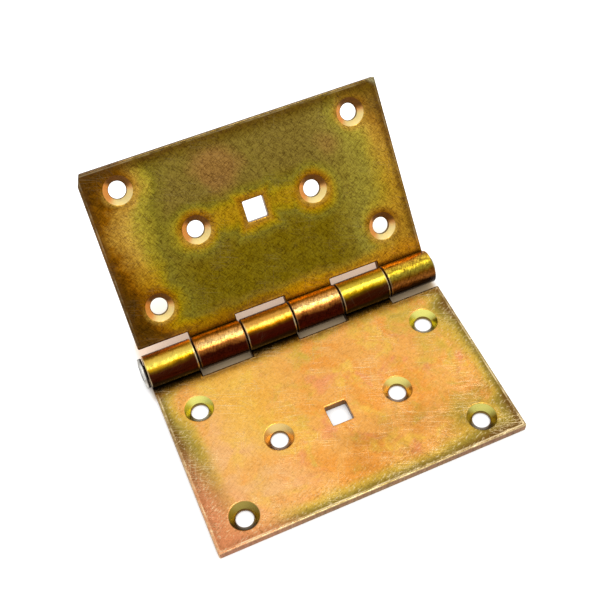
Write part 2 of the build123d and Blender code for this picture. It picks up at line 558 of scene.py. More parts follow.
    def bend(self, blank):
        """Where a point of the blank ends up, in the leaf's own frame.
        Flat for q >= 0: Y = -q, Z = -(eye + d). Rolled for q < 0, with r = eye + d and
        a = -q / neutral radius: Y = r sin a, Z = -r cos a."""
        x, q, d = blank.T
        r = self.s.eye + d
        a = np.where(q < 0, -q / self.neutral, 0.0)
        y = np.where(q < 0, r * np.sin(a), -q)
        z = np.where(q < 0, -r * np.cos(a), -r)
        return np.stack([x, y, z], axis=1)

    def distance_to_edge(self, blank):
        """Distance from the blank's outline: the least of the distances to its straight sides."""
        x, q = blank.T[:2]
        s = self.s
        end = np.minimum(s.length / 2 - abs(x), s.reach - q)
        in_tongue = np.zeros(len(x))
        for low, high in self.tongues:
            in_tongue = np.maximum(in_tongue, np.minimum(x - low, high - x))
        cut = q - s.slot_reach
        over = np.where(in_tongue > 0, np.hypot(np.maximum(cut, 0), in_tongue), cut)
        tip = q - self.end
        plate = np.minimum(end, np.where(cut > 0, over, in_tongue))
        return np.clip(np.minimum(plate, tip), 0, None)

    def distance_to_hole(self, blank):
        """Distance outside the nearest hole's rim, below 0 in its countersink."""
        x, q = blank.T[:2]
        s = self.s
        best = np.full(len(x), 1.0)
        for cx, cq in self.round_holes:
            best = np.minimum(best, np.hypot(x - cx, q - cq) - s.countersink / 2)
        cx, cq = self.square_hole
        square = np.maximum(abs(x - cx), abs(q - cq)) - s.square / 2
        return np.minimum(best, square)


def round_hole(blank, points):
    """Unit vector in the sheet from the centre of the nearest round hole to each point."""
    away = points[:, None, :2] - np.array(blank.round_holes)
    far = np.linalg.norm(away, axis=2)
    rows = np.arange(len(points))
    nearest = far.argmin(axis=1)
    flat = away[rows, nearest] / np.maximum(far[rows, nearest], 1e-6)[:, None]
    return np.column_stack([flat, np.zeros(len(points))])


def leaf_frame(opening):
    """Axes of a leaf's own frame, in the scene's. The lower leaf's aren't turned. The upper
    leaf's X is reversed, and its front is turned by the opening: Z = (0, -sin, -cos)."""
    if opening is None:
        return np.eye(3)
    x = np.array([-1.0, 0.0, 0.0])
    z = np.array([0.0, -math.sin(opening), -math.cos(opening)])
    return np.stack([x, np.cross(z, x), z])


def build_leaf(name, clipped, opening, material):
    """A leaf: its blank bent round the pin, then set on the pin's axis."""
    blank = Blank(leaf_sizes(), clipped)
    points, cells = blank.mesh()
    placed = blank.bend(points) @ leaf_frame(opening) + np.array(PIN_CENTRE)
    x, q = points.T[:2]
    border = np.minimum(blank.s.length / 2 - abs(x), blank.s.reach - q)
    attributes = {
        "blank": points,
        "border": border / MM,
        "edge": blank.distance_to_edge(points) / MM,
        "hole": blank.distance_to_hole(points) / MM,
        "round": round_hole(blank, points),
    }
    return make_piece(name, placed, cells, attributes, material)


def hammered(y, z, radius, seed):
    """Height of a hammered end: the least of seven tilted planes over (y, z), so that it is a
    low dome of flats. Plane k leans outwards at its own angle: -slope_k (u_k . p - reach_k), and
    the middle is flat at 0."""
    random = np.random.default_rng(seed)
    angles = np.arange(7) * 2 * math.pi / 7 + random.uniform(-0.3, 0.3, 7)
    slopes = random.uniform(0.10, 0.22, 7)
    reaches = radius * random.uniform(0.25, 0.6, 7)
    along = y[..., None] * np.cos(angles) + z[..., None] * np.sin(angles)
    return np.minimum((-slopes * (along - reaches)).min(axis=-1), 0.0)


def build_pin(name, material):
    """The pin: a profile (x, r) carried round the axis, X = x, Y = r cos a, Z = r sin a.
    Its two end faces are hammered, and the head's rim is a little out of round."""
    s = bpy.context.scene.hinge_pin
    half = leaf_sizes().length / 2 + s.gap
    shank, head, tail = s.shank / 2, s.head / 2, s.tail / 2
    left, right = -half - s.head_thickness, half + s.tail_thickness
    profile = np.vstack([
        [[left, 0.0]],
        np.stack([np.full(14, left), np.linspace(0.02, 0.9, 14) * head], axis=1),
        [
            [left + 0.10 * MM, 0.94 * head], [left + 0.28 * MM, 0.975 * head],
            [left + 0.5 * MM, 0.995 * head], [left + 0.8 * MM, head],
            [left + 1.1 * MM, 0.998 * head], [-half - 0.12 * MM, 0.985 * head],
            [-half, 0.96 * head], [-half, 0.6 * head], [-half, shank],
            [-half + 0.2 * MM, shank], [0.0, shank], [half - 0.2 * MM, shank],
            [half, shank], [half, 0.93 * tail], [half + 0.1 * MM, 0.985 * tail],
            [half + 0.3 * MM, tail], [half + 0.6 * MM, 0.99 * tail],
            [half + 0.85 * MM, 0.95 * tail], [right - 0.05 * MM, 0.86 * tail],
        ],
        np.stack([np.full(8, right), np.linspace(0.78, 0.03, 8) * tail], axis=1),
        [[right, 0.0]],
    ])
    turns = 96      # columns round the axis
    a = np.arange(turns) * 2 * math.pi / turns
    x = np.broadcast_to(profile[:, 0], (turns, len(profile))).copy()
    r = np.broadcast_to(profile[:, 1], (turns, len(profile))).copy()
    rim = 1 - 0.012 * (1 + np.sin(3 * a + 0.4)) / 2 - 0.008 * (1 + np.sin(7 * a)) / 2
    r = np.where((x < -half + 1e-6) & (r > shank + 1e-6), r * rim[:, None], r)
    y, z = r * np.cos(a)[:, None], r * np.sin(a)[:, None]
    x = np.where(x < left + 0.15 * MM, x - hammered(y, z, head, 4), x)
    x = np.where(x > right - 0.10 * MM, x + hammered(y, z, tail, 9), x)
    points = np.stack([x, y, z], axis=-1).reshape(-1, 3)
    points, cells = joined([(points, grid_quads(turns, len(profile), wrap=True))])
    return make_piece(name, points + np.array(PIN_CENTRE), cells, {}, material)


# Materials


class Finish:
    """A material or world under construction. Each method adds nodes and returns an output."""

    def __init__(self, block):
        block.use_nodes = True
        self.block = block
        self.tree = block.node_tree
        self.tree.nodes.clear()

    def add(self, kind, inputs=(), output=0, **settings):
        """Adds a node. inputs pairs a socket's name or number with a value or an output."""
        made = self.tree.nodes.new(kind)
        for key, value in settings.items():
            setattr(made, key, value)
        for key, value in inputs:
            if isinstance(value, bpy.types.NodeSocket):
                self.tree.links.new(value, made.inputs[key])
            elif value is not None:
                made.inputs[key].default_value = value
        return made.outputs[output]

    def attribute(self, key, output="Fac"):
        """A number or vector that the mesh carries at each point."""
        return self.add("ShaderNodeAttribute", output=output, attribute_name=key)

    def millimetres(self, vector):
        """The three parts of a vector, in millimetres."""
        parts = self.add("ShaderNodeSeparateXYZ", [(0, vector)]).node.outputs
        return [self.times(parts[i], 1 / MM) for i in range(3)]

    def mapped(self, where, scale=(1, 1, 1), turn=0.0, shift=(0, 0, 0)):
        """Point p -> scale * (R(turn) p + shift), turned in the sheet's plane."""
        turned = self.add("ShaderNodeMapping", [
            ("Vector", where), ("Location", shift), ("Rotation", (0, 0, turn))])
        return self.add("ShaderNodeMapping", [("Vector", turned), ("Scale", scale)])

    def noise(self, where, scale, detail=4.0, rough=0.55, warp=0.0):
        """Noise of so many cells a metre, from 0 to 1."""
        return self.add("ShaderNodeTexNoise", [
            ("Vector", where), ("Scale", scale), ("Detail", detail), ("Roughness", rough),
            ("Distortion", warp)])

    def math(self, operation, first, *others):
        """An operation on one value, or carried on through two or more."""
        if not others:
            return self.add("ShaderNodeMath", [(0, first)], operation=operation)
        for other in others:
            first = self.add("ShaderNodeMath", [(0, first), (1, other)], operation=operation)
        return first

    def plus(self, *values):
        """Sum of the values."""
        return self.math("ADD", *values)

    def times(self, *values):
        """Product of the values."""
        return self.math("MULTIPLY", *values)

    def length(self, a, b):
        """Length of the flat vector (a, b)."""
        return self.math("SQRT", self.plus(self.math("POWER", a, 2.0), self.math("POWER", b, 2.0)))

    def swayed(self, value, noise, amount):
        """A value moved up and down by noise: value + amount (noise - 0.5)."""
        return self.plus(value, self.times(self.plus(noise, -0.5), amount))

    def step(self, value, low, high, start=0.0, end=1.0):
        """Smooth step from start at low to end at high."""
        return self.add("ShaderNodeMapRange", [
            ("Value", value), ("From Min", low), ("From Max", high), ("To Min", start),
            ("To Max", end)], interpolation_type="SMOOTHSTEP")

    def fall(self, value, low, high, start=1.0):
        """Smooth step from start at low down to 0 at high."""
        return self.step(value, low, high, start, 0.0)

    def window(self, value, start, full, fading, end):
        """Smooth plateau: 0 before start, 1 from full to fading and 0 after end."""
        return self.times(self.step(value, start, full), self.fall(value, fading, end))

    def mix(self, share, a, b, blend="MIX"):
        """Colour a with a share of colour b."""
        return self.add("ShaderNodeMix", [(0, share), (6, a), (7, b)], output=2,
                        data_type="RGBA", blend_type=blend)

    def ramp(self, value, stops):
        """Colour ramp through (place, colour) stops."""
        out = self.add("ShaderNodeValToRGB", [(0, value)])
        steps = out.node.color_ramp.elements
        steps[0].position, steps[0].color = stops[0]
        steps[1].position, steps[1].color = stops[-1]
        for place, colour in stops[1:-1]:
            steps.new(place).color = colour
        return out

    def dot(self, vector, direction):
        """Dot product of a vector and a direction."""
        return self.add("ShaderNodeVectorMath", [(0, vector), (1, direction)], output="Value",
                        operation="DOT_PRODUCT")

    def close(self, colour, rough, height, depth):
        """Joins colour, roughness and a height of so many metres to a metal shader."""
        normal = self.add("ShaderNodeBump", [
            ("Height", height), ("Strength", 1.0), ("Distance", depth)])
        shader = self.add("ShaderNodeBsdfPrincipled", [
            ("Base Color", colour), ("Metallic", 1.0), ("Roughness", rough),
            ("Normal", normal)])
        return self.end("ShaderNodeOutputMaterial", shader)

    def end(self, kind, shader):
        """Joins a shader to an output node, and returns the material or world."""
        self.tree.links.new(shader, self.tree.nodes.new(kind).inputs[0])
        return self.block


class SheetFinish(Finish):
    """The finish of a leaf. x, q and d are its blank's coordinates in millimetres. edge and
    hole are distances in millimetres from the blank's outline and from the nearest hole's rim.
    rubbed, sheared and cut are shares of 0 to 1 for worn edges, sheared faces and
    countersinks."""

    def __init__(self, name, tones):
        super().__init__(bpy.data.materials.new(name))
        self.tones = tones
        self.blank = self.attribute("blank", "Vector")
        self.x, self.q, self.d = self.millimetres(self.blank)
        self.edge, self.hole = self.attribute("edge"), self.attribute("hole")
        back = leaf_sizes().sheet / MM
        wander = self.times(self.noise(self.blank, 260.0, 3.0), 0.8)
        self.rubbed = self.fall(self.plus(self.edge, wander), 0.45, 0.95)
        self.sheared = self.fall(self.edge, 0.0, 0.12)
        self.cut = self.times(self.fall(self.hole, -0.12, 0.02),
                              self.fall(self.d, back - 0.15, back - 0.05))

    def leaning(self, side):
        """How far a point lies from the middle of its hole towards a side: -1 to 1."""
        return self.dot(self.attribute("round", "Vector"), side)

    def hairlines(self, turn, length, width, amount):
        """Fine straight scratches: the peaks of noise drawn out along one direction."""
        length, width = length * MM, width * MM
        drawn = self.mapped(self.blank, (1 / length, 1 / width, 1 / length), turn)
        return self.step(self.noise(drawn, 1.0, 2.0, 0.6), 0.63 - amount, 0.69 - amount)

    def rolled(self, wander, under, stops):
        """Film round a knuckle, with painted light: a ramp through (angle of the roll in degrees,
        colour) stops, which puts a painted highlight where the lamp's highlight falls and painted
        shade low on the knuckle. The angle is -q / neutral radius, and noise moves it a little. A
        trace of the colour under it shows through."""
        full = 300.0    # degrees of roll over the whole ramp
        turns = self.times(self.q, -math.degrees(MM) / neutral_radius() / full)
        turns = self.swayed(turns, wander, 0.12)
        film = self.ramp(turns, [(degrees / full, colour) for degrees, colour in stops])
        return self.mix(0.014, film, under)

    def finish(self, colour, cone, bright, painted_shade_side, painted_highlight_side, painted_shade_from, cone_rough,
               wear, rim, lines, mottle, fold_shade):
        """Adds what both leaves share: mottling, scratches, cut countersinks, rims rubbed thin,
        sheared faces, a light line along the edge that is partly wear and partly painted
        highlight, and painted shadow in the fold beside the barrel. cone is a countersink's colour
        and bright the colour of its painted highlight. The two side directions in the sheet say
        where a countersink's painted highlight and painted shade lie, the next number is where its
        painted shade starts, and cone_rough scales its roughness. The last five are amounts."""
        tones, edge, hole, q = self.tones, self.edge, self.hole, self.q
        grain = self.noise(self.blank, 1500.0, 3.0, 0.7)
        speck = self.noise(self.blank, 520.0, 5.0, 0.7, 0.3)
        veins = self.plus(self.noise(self.blank, 480.0, 4.0, 0.65, 0.8), -0.5)
        stains = [
            self.step(speck, 0.48, 0.74, 0.0, 0.3 * mottle),
            self.step(grain, 0.35, 0.75, 0.0, 0.34 * mottle),
            self.fall(self.math("ABSOLUTE", veins), 0.0, 0.035, 0.55 * mottle)]
        for turn, length, width in ((0.5, 3.2, 0.32), (1.9, 2.6, 0.28), (-0.8, 3.6, 0.3)):
            stains.append(self.times(self.hairlines(turn, length, width, 0.07), 0.45 * mottle))
        for stain in stains:
            colour = self.mix(stain, colour, tones.stain, "MULTIPLY")
        scratched = self.math("MAXIMUM", *(
            self.hairlines(turn, length, width, amount)
            for turn, length, width, amount in (
                (-0.4, 16, 0.24, 0.03), (1.25, 18, 0.18, 0.0), (-0.2, 34, 0.2, 0.01),
                (2.2, 14, 0.16, 0.0))))
        scratched = self.times(
            scratched, self.step(self.noise(self.blank, 90.0, 2.0), 0.42, 0.62),
            self.step(q, 0, 8, 0.05, 1))
        colour = self.mix(self.times(scratched, wear), colour, tones.wear_and_highlight)

        # Countersinks, with a painted highlight on one side of each and painted shade on the
        # other, and painted shade over a rust tint on the square hole's walls and in the screw
        # holes' bores
        rings = self.noise(self.mapped(self.blank, (1, 1, 3000.0)), 60.0, 2.0)
        cone = self.mix(self.step(rings, 0.35, 0.7, 0.0, 0.35), cone, tones.gold)
        for side, low, high, share, tone in (
                (painted_highlight_side, 0.1, 0.8, 0.95, bright),
                (painted_shade_side, painted_shade_from, painted_shade_from + 0.55, 0.8, tones.hole_shade)):
            lean = self.swayed(self.leaning(side), speck, 0.4)
            cone = self.mix(self.step(lean, low, high, 0.0, share), cone, tone)
        colour = self.mix(self.cut, colour, cone)
        sizes = leaf_sizes()
        foot = (sizes.hole - sizes.countersink) / 2 / MM
        square = self.times(self.step(self.d, 0.2, 0.5), self.window(hole, -0.2, -0.1, 0.12, 0.25))
        bore = self.times(self.cut, self.fall(hole, foot + 0.12, foot + 0.26))
        punched = self.times(self.math("MAXIMUM", square, bore), 0.85)
        colour = self.mix(punched, colour, self.mix(0.6, tones.rust, tones.hole_shade))

        # Sheared faces, the brown line inside the border and the light line along the edge, which
        # is partly wear and partly a painted highlight of the rounded front edge
        shear = self.noise(self.mapped(self.blank, (1, 1, 0.12)), 1400.0, 2.0)
        shear = self.step(shear, 0.3, 0.8, 0.85 - 0.7 * lines, 0.85)
        shear = self.mix(shear, tones.sheared, tones.umber)
        colour = self.mix(self.times(self.sheared, 0.75), colour, shear)
        inner = self.times(
            self.window(edge, 0.8, 1.2, 1.3, 2.8),
            self.step(speck, 0.35, 0.6, 0.05, 0.46 - 0.16 * lines), self.step(q, 3, 8))
        colour = self.mix(inner, colour, tones.umber)
        broken = self.noise(self.blank, 150.0, 3.0, 0.7)
        line = self.times(
            self.window(edge, 0.42, 0.62, 0.78, 1.05),
            self.step(broken, 0.4, 0.62, 0.15 * lines, 0.8 * lines), self.step(q, 7, 9))
        colour = self.mix(line, colour, tones.wear_and_highlight)

        # Rims rubbed thin, turned umber in the fold as painted shade, and painted shadow in the
        # fold and at the end of the roll
        fold = self.window(q, 1, 3.5, 7.6, 8.4)
        patchy = self.noise(self.blank, 190.0, 3.0, 0.7)
        bare = self.times(
            self.rubbed, self.math("SUBTRACT", 1.0, self.sheared),
            self.step(patchy, 0.3, 0.6, 0.35 * rim, rim))
        colour = self.mix(bare, colour, self.mix(fold, tones.wear_and_highlight, tones.umber))
        tip = -sizes.curl * neutral_radius() / MM
        for share in (self.fall(q, tip + 0.6, tip + 1.6, fold_shade),
                      self.times(fold, self.fall(q, 4.6, 8.0, 0.9 * fold_shade))):
            colour = self.mix(share, colour, tones.black_shade)

        rough = self.times(
            self.plus(self.step(speck, 0.3, 0.75, 0.2, 0.33), self.times(self.sheared, 0.2)),
            self.step(self.cut, 0.0, 1.0, 1.0, cone_rough))
        waves = self.times(self.noise(self.blank, 320.0, 2.0, 0.5), self.step(q, 0, 8, 8.0, 0.8))
        height = self.plus(
            self.times(grain, 0.6), self.times(speck, 0.5), self.times(scratched, -0.5), waves)
        return self.close(colour, rough, height, 0.02 * MM)


def lower_film(tones):
    """Lower leaf: peach film with amber, honey, rose and tan patches. A tone, from noise and
    the place on the leaf, turns it straw, green and brown towards its border. The knuckles run
    from gold over a pale yellow painted highlight to dark red and black painted shade round
    the roll."""
    f = SheetFinish("Peach film", tones)
    x, q, border = f.x, f.q, f.attribute("border")
    large = f.noise(f.mapped(f.blank, shift=(0.31, 0.17, 0.0)), 34.0, 3.0, 0.5, 0.4)
    small = f.noise(f.mapped(f.blank, shift=(0.05, 0.4, 0.0)), 130.0, 5.0, 0.6, 0.6)

    # Green parts: along the border, the right corners, the left end and beside the barrel
    outer_right = f.math("MAXIMUM", f.fall(x, 40, 46), f.step(q, 50, 54))
    tone = f.plus(
        f.times(large, 0.4), f.times(small, 0.6), -0.42,
        f.fall(f.swayed(border, small, 9), -2, 8, 0.36), f.fall(border, 0.6, 3.2, 0.08),
        f.times(f.step(x, 20, 38), f.step(q, 38, 54, 0, 0.2), outer_right),
        f.times(f.step(x, 40, 46), f.step(q, 10, 15), f.fall(q, 15, 24, 0.22)),
        f.times(f.fall(x, -44, -38, 0.26), f.step(q, 14, 26, 0.2, 1)),
        f.fall(q, 7, 12, 0.12))
    green = f.ramp(tone, [(0.22, tones.straw), (0.36, tones.moss), (0.56, tones.drab)])
    colour = tones.peach
    for shift, scale, low, high, share, patch in (
            (0.71, 85.0, 0.46, 0.60, 0.9, tones.amber),
            (0.23, 105.0, 0.52, 0.66, 0.8, tones.honey),
            (0.94, 75.0, 0.55, 0.68, 0.7, tones.rose),
            (0.47, 160.0, 0.52, 0.72, 0.22, tones.tan)):
        spread = f.noise(f.mapped(f.blank, shift=(shift, 1 - shift, 0.0)), scale, 4.0, 0.6, 0.5)
        colour = f.mix(f.step(spread, low, high, 0.0, share), colour, patch)
    colour = f.mix(f.step(tone, 0.08, 0.24), colour, green)

    # Yellow left half, duller outer right, pale and pink left end, rust beside the barrel
    slanted = f.plus(x, f.times(q, -0.6))
    corner = f.plus(x, f.times(q, -0.8), f.times(large, 20))
    sunny = f.times(f.fall(x, -26, -2, 0.65), f.fall(q, 34, 50), f.step(x, -43, -36))
    duller = f.times(f.step(x, -14, 4), f.step(q, 40, 50), f.step(small, 0.35, 0.62, 0.3, 0.85))
    pale = f.times(f.fall(slanted, -56, -41, 0.85), f.step(x, -44, -39),
                   f.step(border, 2, 8), f.step(small, 0.4, 0.6, 0.3, 1))
    colour = f.mix(sunny, colour, tones.honey)
    colour = f.mix(duller, colour, tones.sand, "MULTIPLY")
    colour = f.mix(pale, colour, tones.salmon)
    colour = f.mix(f.fall(q, 7, 11.5, 0.7), colour, tones.rust)
    colour = f.mix(f.fall(corner, -78, -60, 0.75), colour, tones.rose)
    flecks = f.noise(f.mapped(f.blank, (1.0, 2.4, 1.0), 0.5), 700.0, 2.0, 0.6)
    near_rim = f.step(border, 2, 12, 1, 0.3)
    for low, high, fleck in ((0.56, 0.66, tones.wear_and_highlight), (0.44, 0.34, tones.drab)):
        colour = f.mix(f.times(f.step(flecks, low, high, 0, 0.5), near_rim), colour, fleck)

    # Knuckles: film round the roll, with a painted highlight where the lamp's highlight falls
    # and painted shade low on them
    rolled = f.rolled(small, tones.straw, [
        (0, tones.gold), (100, tones.brown), (136, tones.brown), (160, tones.gold),
        (180, tones.straw), (196, tones.lemon), (208, tones.gold), (217, tones.brown),
        (226, tones.maroon), (250, tones.maroon), (264, tones.black_shade)])
    rolled = f.mix(f.window(x, -20, -16, 0, 4), rolled, tones.coral, "MULTIPLY")
    rolled = f.mix(f.step(x, 12, 17), rolled, tones.sprout, "MULTIPLY")
    crown = f.times(f.window(q, -11.6, -10.6, -10.2, -9.2), 0.95)
    rolled = f.mix(crown, rolled, f.mix(f.step(x, -38, -12), tones.ember, tones.tan))
    colour = f.mix(f.fall(q, 1, 5), colour, rolled)

    # Countersinks, by their rows
    outer_row = f.step(q, 44, 50, 0, 0.75)
    middle_row = f.fall(f.math("ABSOLUTE", x), 26, 32, 0.9)
    cone = f.mix(middle_row, f.mix(outer_row, tones.cone_green, tones.drab), tones.ember)
    # Painted highlight of the countersinks, duller in the outer row and pale in the middle row
    bright = f.mix(f.times(outer_row, f.step(x, -20, 20, 1, 0.3)), tones.highlight_green, tones.drab)
    bright = f.mix(f.times(middle_row, f.step(x, -10, 10, 1, 0.3)), bright, tones.highlight_cream)
    # Directions in the sheet of the countersinks' painted shade and painted highlight
    return f.finish(
        colour, cone, bright, painted_shade_side=(-0.4, 0.92, 0.0), painted_highlight_side=(0.5, -0.87, 0.0),
        painted_shade_from=0.2, cone_rough=0.9, wear=0.55, rim=0.8, lines=1.0, mottle=0.3, fold_shade=0.95)


def upper_film(tones):
    """Upper leaf: the film thickens away from the ends and from the row of middle holes, so its
    tone, a product of smooth steps in those distances, runs from brown through rust, gold and
    lime to olive in the near half and mauve in the far half. The knuckles are peach, with a pale
    painted highlight where the lamp's highlight falls on them and dark red painted shade low on
    them."""
    f = SheetFinish("Olive film", tones)
    sizes = leaf_sizes()
    x, q, hole = f.x, f.q, f.hole
    large = f.noise(f.mapped(f.blank, shift=(0.11, 0.27, 0.0)), 40.0, 2.0, 0.5, 0.3)
    small = f.noise(f.blank, 150.0, 4.0, 0.6, 0.5)
    fleck = f.noise(f.blank, 420.0, 3.0, 0.7, 0.4)
    swing = f.plus(large, f.times(small, 0.35), -0.675)

    # Distances to the ends, the outer edge, the barrel's foot and the row of middle holes
    half, reach = sizes.length / 2 / MM, sizes.reach / MM
    left, right = f.math("SUBTRACT", half, x), f.plus(x, half)
    top, foot = f.math("SUBTRACT", reach, q), f.plus(q, -8)
    ends = f.math("MINIMUM", left, f.plus(f.times(right, 0.8), 6))
    corner_left = f.plus(left, f.math("MINIMUM", top, f.plus(foot, 4)))
    row = f.plus(q, -1 - (sizes.row_near + sizes.row_pitch / 2) / MM)
    aside = f.math("MAXIMUM", f.plus(f.math("ABSOLUTE", x), -sizes.middle_pitch / 2 / MM), 0.0)
    capsule = f.length(row, aside)

    def spread(distance, sway, low, high, start=0.0):
        """Smooth step from start to 1 in a distance that the noise moves."""
        return f.step(f.plus(distance, f.times(swing, sway)), low, high, start, 1)

    halo = spread(hole, 4, 0.6, 7, f.step(aside, 8, 14, 0.42, 0.85))
    tone = f.times(
        spread(ends, 8, -2, 28), f.math("MINIMUM", spread(capsule, 4, 1, 9, 0.42), halo),
        spread(foot, 4, -1.5, 5, 0.3), spread(corner_left, 8, 8, 28, 0.06),
        spread(f.plus(right, top), 8, 2, 24, 0.2), spread(hole, 4, -0.6, 3, 0.42))
    tone = f.swayed(f.plus(tone, f.times(swing, 0.28)), fleck, 0.2)
    near_half, far_half = (
        f.ramp(tone, [
            (0.0, tones.brown), (0.06, tones.bark), (0.13, tones.rust), (0.34, halo_tone),
            (0.55, ring_tone), (0.74, tones.fern), (1.0, middle_tone)])
        for halo_tone, ring_tone, middle_tone in (
            (tones.gold, tones.lime, tones.olive), (tones.amber_gold, tones.pear, tones.mauve)))
    far_share = f.times(
        spread(f.plus(q, f.times(x, 0.15)), 16, 24, 50), f.step(capsule, 4.5, 9.5, 0.15, 1))
    colour = f.mix(far_share, near_half, far_half)

    # Bright right half, dark ends, reddish spots, dark outer edge and orange along the barrel
    haze = f.mix(f.step(right, 5, 11), tones.amber_gold, tones.sage)
    colour = f.mix(f.step(x, -20, -37, 0, 0.3), colour, haze)
    colour = f.mix(f.fall(f.math("MINIMUM", left, right), 1, 3.5, 0.5), colour, tones.brown)
    for middle_x, middle_q, radius, share in ((8.5, 53.0, 8.0, 0.75), (-29.0, 50.0, 6.0, 0.5)):
        spot = f.plus(f.length(f.plus(x, -middle_x), f.plus(q, -middle_q)), f.times(swing, 14))
        colour = f.mix(f.fall(spot, radius * 0.5, radius * 1.3, share), colour, tones.blush)
    lip = f.fall(f.swayed(top, fleck, 3), 1.4, 6.6, 0.85)
    colour = f.mix(lip, colour, f.mix(f.step(x, 14, 36), tones.loam, tones.brown))
    fiery = f.times(f.fall(f.plus(foot, f.times(swing, 8)), -1, 5, 0.7),
                    f.step(x, 20, 36, 1, 0.2))
    colour = f.mix(fiery, colour, f.mix(f.step(x, -8, 8), tones.fire, tones.rust))

    # Rims of the holes: rust on the side of the outer edge, lit on the barrel's side
    beside_hole = f.plus(hole, f.times(small, 1.2))
    lean = f.leaning((0.0, -1.0, 0.0))
    rim = f.times(f.fall(beside_hole, 0.4, 3.4, 0.9), f.step(lean, -0.7, 0.5, 1, 0.3),
                  f.step(top, 2, 8, 0.25, 1))
    colour = f.mix(rim, colour, tones.rust)
    lit = f.times(f.fall(beside_hole, 0.6, 2.4, 0.7), f.step(lean, -0.5, 0.6))
    colour = f.mix(lit, colour, tones.amber_gold)
    bare = f.swayed(f.math("SUBTRACT", q, x), small, 6)
    colour = f.mix(f.step(bare, 110.5, 113, 0, 0.7), colour, tones.rubbed)

    # Knuckles, the last one in its own film. Round the roll they carry a painted highlight where
    # the lamp's highlight falls and painted shade low on them
    rolled = f.rolled(small, tones.amber, [
        (0, tones.rust), (40, tones.maroon), (120, tones.brown), (140, tones.maroon),
        (180, tones.maroon), (196, tones.copper), (206, tones.peach), (216, tones.highlight_cream),
        (232, tones.peach), (246, tones.toast), (270, tones.toast), (286, tones.brown)])
    last = f.rolled(small, tones.amber, [
        (0, tones.rust), (60, tones.maroon), (150, tones.black_shade), (170, tones.copper),
        (184, tones.bark), (200, tones.fern), (215, tones.citron), (230, tones.highlight_pear),
        (246, tones.apricot), (262, tones.toast), (286, tones.brown)])
    rolled = f.mix(f.step(x, -33, -25), last, rolled)
    colour = f.mix(f.fall(q, 1, 5), colour, rolled)
    # Directions in the sheet of the countersinks' painted shade and painted highlight
    return f.finish(
        colour, tones.cone_pink, tones.highlight_pink, painted_shade_side=(-0.37, 0.93, 0.0),
        painted_highlight_side=(-0.34, -0.94, 0.0), painted_shade_from=0.15, cone_rough=2.5, wear=0.08, rim=0.16,
        lines=0.25, mottle=1.0, fold_shade=0.5)


def bare_zinc(tones):
    """Pin: bare zinc with brown blotches and fine marks, and painted shade along the head's two
    edges: a dark outline at its outer face and a painted shadow from its back along the shank to
    the middle of the pin.
    """
    f = Finish(bpy.data.materials.new("Bare zinc"))
    pin = bpy.context.scene.hinge_pin
    where = f.add("ShaderNodeTexCoord", output="Object")
    blotch = f.noise(where, 600.0, 4.0, 0.6, 0.5)
    marks = f.noise(where, 2400.0, 3.0, 0.7)
    colour = f.mix(f.step(blotch, 0.4, 0.7, 0, 0.55), tones.zinc, tones.umber, "MULTIPLY")
    x = f.millimetres(where)[0]
    inner = -(leaf_sizes().length / 2 + pin.gap) / MM
    outer = inner - pin.head_thickness / MM
    # Painted shade at the head's outer face and painted shadow at its back, against the knuckle
    dark = f.math("MAXIMUM", f.fall(x, outer + 0.08, outer + 0.3, 0.8),
                  f.step(x, inner - 0.75, inner - 0.45, 0, 0.95))
    colour = f.mix(f.times(dark, f.fall(x, 0, 1)), colour, tones.black_shade)
    return f.close(colour, f.step(marks, 0.3, 0.7, 0.25, 0.5), marks, 0.04 * MM)


# Operators


class HINGE_OT_lower_leaf(bpy.types.Operator):
    """Builds the lower leaf with its three rolled knuckles."""

    bl_idname = "hinge.lower_leaf"
    bl_label = "Lower leaf"

    def execute(self, context):
        finish = lower_film(context.scene.hinge_colours)
        leaf = build_leaf("lower_leaf_steel", clipped=False, opening=None, material=finish)
        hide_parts("lower_leaf")
        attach(leaf, "fixed_leaf")
        return {"FINISHED"}


class HINGE_OT_upper_leaf(bpy.types.Operator):
    """Builds the upper leaf, turned end for end, with one clipped corner."""

    bl_idname = "hinge.upper_leaf"
    bl_label = "Upper leaf"

    def execute(self, context):
        finish = upper_film(context.scene.hinge_colours)
        leaf = build_leaf(
            "upper_leaf_steel", clipped=True, opening=leaf_sizes().opening, material=finish)
        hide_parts("upper_leaf")
        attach(leaf, "moving_leaf")
        return {"FINISHED"}


class HINGE_OT_pin(bpy.types.Operator):
    """Builds the riveted pin."""

    bl_idname = "hinge.pin"
    bl_label = "Riveted pin"

    def execute(self, context):
        pin = build_pin("riveted_pin", bare_zinc(context.scene.hinge_colours))
        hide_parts("hinge_pin")
        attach(pin, "fixed_leaf")
        return {"FINISHED"}


class HINGE_OT_stage(bpy.types.Operator):
    """Sets out the floor, the lamps and the camera."""

    bl_idname = "hinge.stage"
    bl_label = "Stage"

    def execute(self, context):
        build_floor()
        light_studio()
        place_camera()
        return {"FINISHED"}


